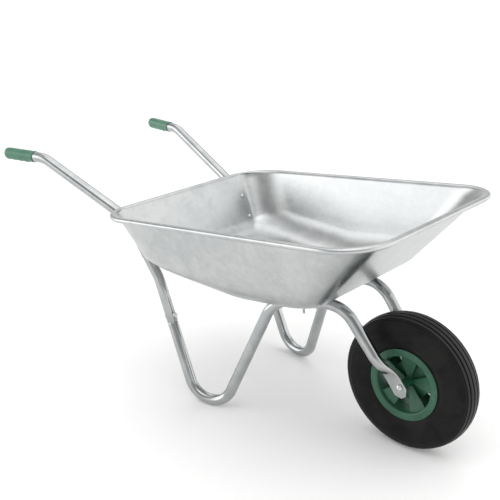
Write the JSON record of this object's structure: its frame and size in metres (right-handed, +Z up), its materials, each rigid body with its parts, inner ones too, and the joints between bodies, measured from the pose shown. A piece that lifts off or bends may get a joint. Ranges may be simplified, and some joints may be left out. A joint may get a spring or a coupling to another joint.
{
  "type": "wheelbarrow",
  "caption": "Single-wheel garden wheelbarrow: pressed galvanised tray with a rolled rim on a bent tube frame, green handle grips and a green-centred air-filled wheel.",
  "frame": {"origin": "on the ground under the middle of the bounding box", "axes": "+X forward from the grips to the wheel, +Y to the left side, +Z up"},
  "size_m": [1.4323, 0.6616, 0.6305],
  "materials": {
    "sheet": "galvanised, satin",
    "tube": "zinc plated, satin",
    "fastener": "zinc plated",
    "grip": "satin",
    "rim": "satin",
    "tyre": "satin black rubber",
    "inner_tube": "matte",
    "bush": "matte",
    "cap": "matte"
  },
  "bodies": {
    "frame": {"tray": "sheet", "handle_tube_left": "tube", "leg_tube_left": "tube", "grip_left": "grip", "upper_wall_bolt_left": "fastener", "upper_wall_nut_left": "fastener", "lower_wall_bolt_left": "fastener", "lower_wall_nut_left": "fastener", "floor_bolt_left": "fastener", "floor_nut_left": "fastener", "sleeve_bolt_left": "fastener", "sleeve_nut_left": "fastener", "axle_nut_left": "fastener", "axle_washer_left": "fastener", "handle_tube_right": "tube", "leg_tube_right": "tube", "grip_right": "grip", "upper_wall_bolt_right": "fastener", "upper_wall_nut_right": "fastener", "lower_wall_bolt_right": "fastener", "lower_wall_nut_right": "fastener", "floor_bolt_right": "fastener", "floor_nut_right": "fastener", "sleeve_bolt_right": "fastener", "sleeve_nut_right": "fastener", "axle_nut_right": "fastener", "axle_washer_right": "fastener", "axle": "fastener"},
    "wheel": {"tyre": "tyre", "inner_tube": "inner_tube", "rim_half_left": "rim", "rim_half_right": "rim", "bearing_bush_left": "bush", "bearing_bush_right": "bush", "valve_stem": "inner_tube", "valve_cap": "cap"}
  },
  "joints": [
    {"name": "wheel_spin", "type": "hinge", "parent": "frame", "child": "wheel", "pos_m": [0.54, 0, 0.18], "axis": [0, 1, 0], "continuous": true}
  ]
}
